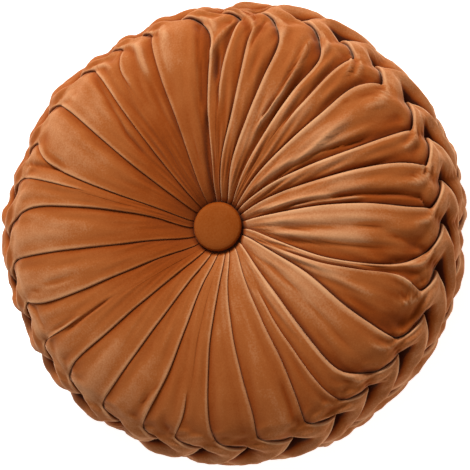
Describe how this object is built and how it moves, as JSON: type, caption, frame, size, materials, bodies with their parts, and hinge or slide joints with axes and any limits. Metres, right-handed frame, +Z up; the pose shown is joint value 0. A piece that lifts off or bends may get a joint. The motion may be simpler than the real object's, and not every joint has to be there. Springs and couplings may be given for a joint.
{
  "type": "round seat cushion",
  "caption": "Round velvet seat cushion, pleated to a covered button on each face, with a smocked zigzag side.",
  "frame": {"origin": "under the middle of the outline, on the plane that the cushion rests on", "axes": "+Z up through the thickness, from the back to the face; +X and +Y in the plane of the cushion, with +X towards the fuller pleats"},
  "size_m": [0.4072, 0.402, 0.116],
  "materials": {
    "velvet": "short-pile velvet, soft sheen",
    "button_velvet": "short-pile velvet stretched smooth"
  },
  "bodies": {
    "root": {"cushion": "velvet", "button_front": "button_velvet", "button_back": "button_velvet"}
  },
  "joints": []
}
